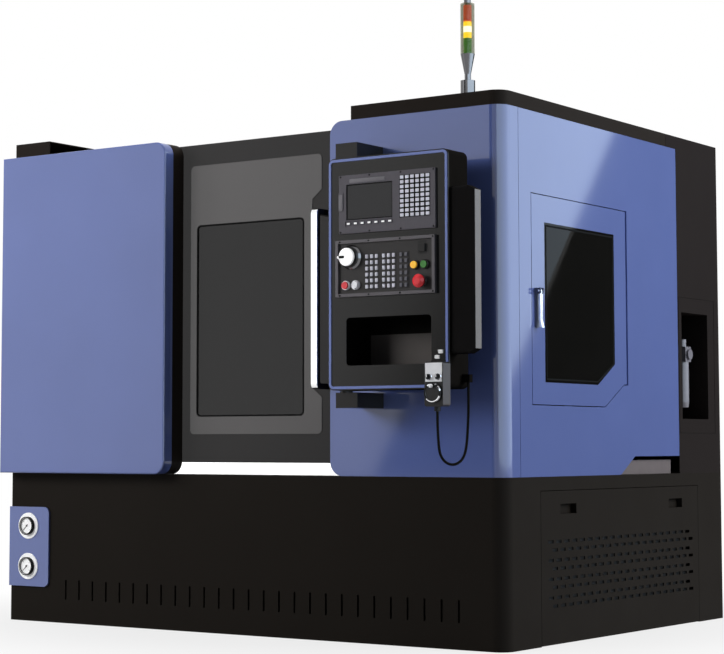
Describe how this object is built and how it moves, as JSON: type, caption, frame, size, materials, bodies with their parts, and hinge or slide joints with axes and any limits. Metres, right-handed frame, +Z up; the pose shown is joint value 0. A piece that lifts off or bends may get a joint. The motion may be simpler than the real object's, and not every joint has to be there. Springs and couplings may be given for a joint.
{
  "type": "cnc lathe",
  "caption": "Slant-bed CNC turning lathe with a sliding work door, a swinging control pendant, a side door and a pull-out coolant tank under a dark and blue enclosure",
  "frame": {"origin": "middle of the base cabinet's footprint, at floor level", "axes": "+X along the spindle from the headstock to the pendant end, +Y from the operator's side to the back, +Z up"},
  "size_m": [2.254, 1.9543, 2.2],
  "materials": {
    "blue_paint": "satin",
    "base_paint": "satin",
    "cap_paint": "satin",
    "door_paint": "satin",
    "plate_paint": "matte",
    "sill_steel": "brushed",
    "handle_metal": "polished",
    "chrome": "polished",
    "window_glass": "gloss",
    "screen_glass": "gloss",
    "pendant_paint": "satin",
    "back_paint": "satin",
    "bezel_plastic": "satin",
    "key_plastic": "matte",
    "red_plastic": "gloss",
    "white_plastic": "gloss",
    "yellow_plastic": "gloss",
    "green_plastic": "gloss",
    "knob_plastic": "satin",
    "hand_plastic": "satin",
    "cord_rubber": "matte",
    "machined_steel": "machined",
    "casting_paint": "painted",
    "liner_steel": "brushed",
    "tank_paint": "satin",
    "gauge_metal": "polished",
    "needle_black": "matte",
    "lens_clear": "gloss",
    "lamp_plastic": "gloss",
    "filter_plastic": "gloss",
    "pump_paint": "satin"
  },
  "bodies": {
    "frame": {"base_cabinet": "base_paint", "gauge_plate": "blue_paint", "pressure_gauges": "gauge_metal", "left_end_cover": "cap_paint", "headstock_cover": "cap_paint", "left_front_panel": "blue_paint", "sill_strips": "sill_steel", "right_column": "blue_paint", "side_panel": "blue_paint", "rear_cabinet": "cap_paint", "air_filter": "filter_plastic", "top_cap": "cap_paint", "roof_panel": "cap_paint", "chamber_liner": "liner_steel", "tower_body": "chrome", "tower_lens": "lens_clear", "tower_lamps": "lamp_plastic", "slant_bed": "casting_paint", "headstock": "casting_paint", "pendant_brackets": "cap_paint"},
    "upper_needle": {"upper_needle": "needle_black"},
    "lower_needle": {"lower_needle": "needle_black"},
    "work_door": {"main_door": "door_paint", "door_plate": "plate_paint", "door_window": "window_glass", "door_handle": "handle_metal"},
    "pendant": {"pendant_case": "pendant_paint", "pendant_grip": "back_paint", "pendant_trim": "blue_paint", "control_unit": "bezel_plastic", "screen": "screen_glass", "keypads": "key_plastic", "operator_panel": "bezel_plastic", "hand_unit_case": "hand_plastic", "hand_unit_cord": "cord_rubber"},
    "override_knob": {"override_knob": "knob_plastic"},
    "stop_button": {"stop_button": "red_plastic"},
    "red_button": {"red_button": "red_plastic"},
    "white_button": {"white_button": "white_plastic"},
    "yellow_button": {"yellow_button": "yellow_plastic"},
    "green_button": {"green_button": "green_plastic"},
    "handwheel": {"handwheel": "knob_plastic"},
    "axis_selector": {"axis_selector": "knob_plastic"},
    "rate_selector": {"rate_selector": "knob_plastic"},
    "side_door": {"side_door": "blue_paint", "side_window": "window_glass", "lever_base": "chrome"},
    "door_lever": {"door_lever": "chrome"},
    "tank": {"coolant_tank": "tank_paint", "tank_panel": "base_paint", "coolant_pump": "pump_paint"},
    "spindle": {"spindle": "machined_steel", "chuck_body": "machined_steel"},
    "jaw_1": {"chuck_jaw_1": "machined_steel"},
    "jaw_2": {"chuck_jaw_2": "machined_steel"},
    "jaw_3": {"chuck_jaw_3": "machined_steel"},
    "saddle": {"saddle": "casting_paint"},
    "cross_slide": {"cross_slide": "casting_paint"},
    "turret": {"turret_disc": "machined_steel", "tool_holders": "machined_steel"}
  },
  "joints": [
    {"name": "work_door_slide", "type": "slide", "parent": "frame", "child": "work_door", "axis": [-1, 0, 0], "range_m": [0, 0.6]},
    {"name": "pendant_swing", "type": "hinge", "parent": "frame", "child": "pendant", "pos_m": [0.575, -0.978, 1.25], "axis": [0, 0, -1], "range_deg": [0, 90]},
    {"name": "override_turn", "type": "hinge", "parent": "pendant", "child": "override_knob", "pos_m": [0.642, -1.046, 1.304], "axis": [0, 1, 0], "range_deg": [-150, 150]},
    {"name": "stop_press", "type": "slide", "parent": "pendant", "child": "stop_button", "axis": [0, 1, 0], "range_m": [0, 0.005]},
    {"name": "red_press", "type": "slide", "parent": "pendant", "child": "red_button", "axis": [0, 1, 0], "range_m": [0, 0.004], "stiffness_N_per_m": 400},
    {"name": "white_press", "type": "slide", "parent": "pendant", "child": "white_button", "axis": [0, 1, 0], "range_m": [0, 0.004], "stiffness_N_per_m": 400},
    {"name": "yellow_press", "type": "slide", "parent": "pendant", "child": "yellow_button", "axis": [0, 1, 0], "range_m": [0, 0.004], "stiffness_N_per_m": 400},
    {"name": "green_press", "type": "slide", "parent": "pendant", "child": "green_button", "axis": [0, 1, 0], "range_m": [0, 0.004], "stiffness_N_per_m": 400},
    {"name": "handwheel_turn", "type": "hinge", "parent": "pendant", "child": "handwheel", "pos_m": [0.994, -1.09, 0.844], "axis": [0, 1, 0], "continuous": true},
    {"name": "axis_select", "type": "hinge", "parent": "pendant", "child": "axis_selector", "pos_m": [0.976, -1.09, 0.896], "axis": [0, 1, 0], "range_deg": [-60, 60]},
    {"name": "rate_select", "type": "hinge", "parent": "pendant", "child": "rate_selector", "pos_m": [1.012, -1.09, 0.896], "axis": [0, 1, 0], "range_deg": [-60, 60]},
    {"name": "side_door_swing", "type": "hinge", "parent": "frame", "child": "side_door", "pos_m": [1.096, 0.037, 1.2], "axis": [0, 0, 1], "range_deg": [0, 95]},
    {"name": "lever_lift", "type": "hinge", "parent": "side_door", "child": "door_lever", "pos_m": [1.126, -0.619, 1.197], "axis": [0, -1, 0], "range_deg": [0, 60]},
    {"name": "tank_pull", "type": "slide", "parent": "frame", "child": "tank", "axis": [1, 0, 0], "range_m": [0, 0.75]},
    {"name": "upper_gauge", "type": "hinge", "parent": "frame", "child": "upper_needle", "pos_m": [-1.013, -0.8593, 0.365], "axis": [0, 1, 0], "range_deg": [0, 270], "stiffness_Nm_per_rad": 0.002},
    {"name": "lower_gauge", "type": "hinge", "parent": "frame", "child": "lower_needle", "pos_m": [-1.013, -0.8593, 0.21], "axis": [0, 1, 0], "range_deg": [0, 270], "stiffness_Nm_per_rad": 0.002},
    {"name": "spindle_turn", "type": "hinge", "parent": "frame", "child": "spindle", "pos_m": [0, -0.33, 1.06], "axis": [1, 0, 0], "continuous": true},
    {"name": "jaw_1_grip", "type": "slide", "parent": "spindle", "child": "jaw_1", "axis": [0, 0, 1], "range_m": [-0.004, 0.004]},
    {"name": "jaw_2_grip", "type": "slide", "parent": "spindle", "child": "jaw_2", "axis": [0, -0.866, -0.5], "range_m": [-0.004, 0.004]},
    {"name": "jaw_3_grip", "type": "slide", "parent": "spindle", "child": "jaw_3", "axis": [0, 0.866, -0.5], "range_m": [-0.004, 0.004]},
    {"name": "saddle_travel", "type": "slide", "parent": "frame", "child": "saddle", "axis": [1, 0, 0], "range_m": [-0.17, 0.45]},
    {"name": "cross_travel", "type": "slide", "parent": "saddle", "child": "cross_slide", "axis": [0, 0.7071, 0.7071], "range_m": [-0.1, 0.06]},
    {"name": "turret_index", "type": "hinge", "parent": "cross_slide", "child": "turret", "pos_m": [0.09, -0.11433, 1.27567], "axis": [1, 0, 0], "continuous": true}
  ],
  "couplings": [
    {"joint": "jaw_2_grip", "follows": "jaw_1_grip", "ratio": 1},
    {"joint": "jaw_3_grip", "follows": "jaw_1_grip", "ratio": 1}
  ]
}
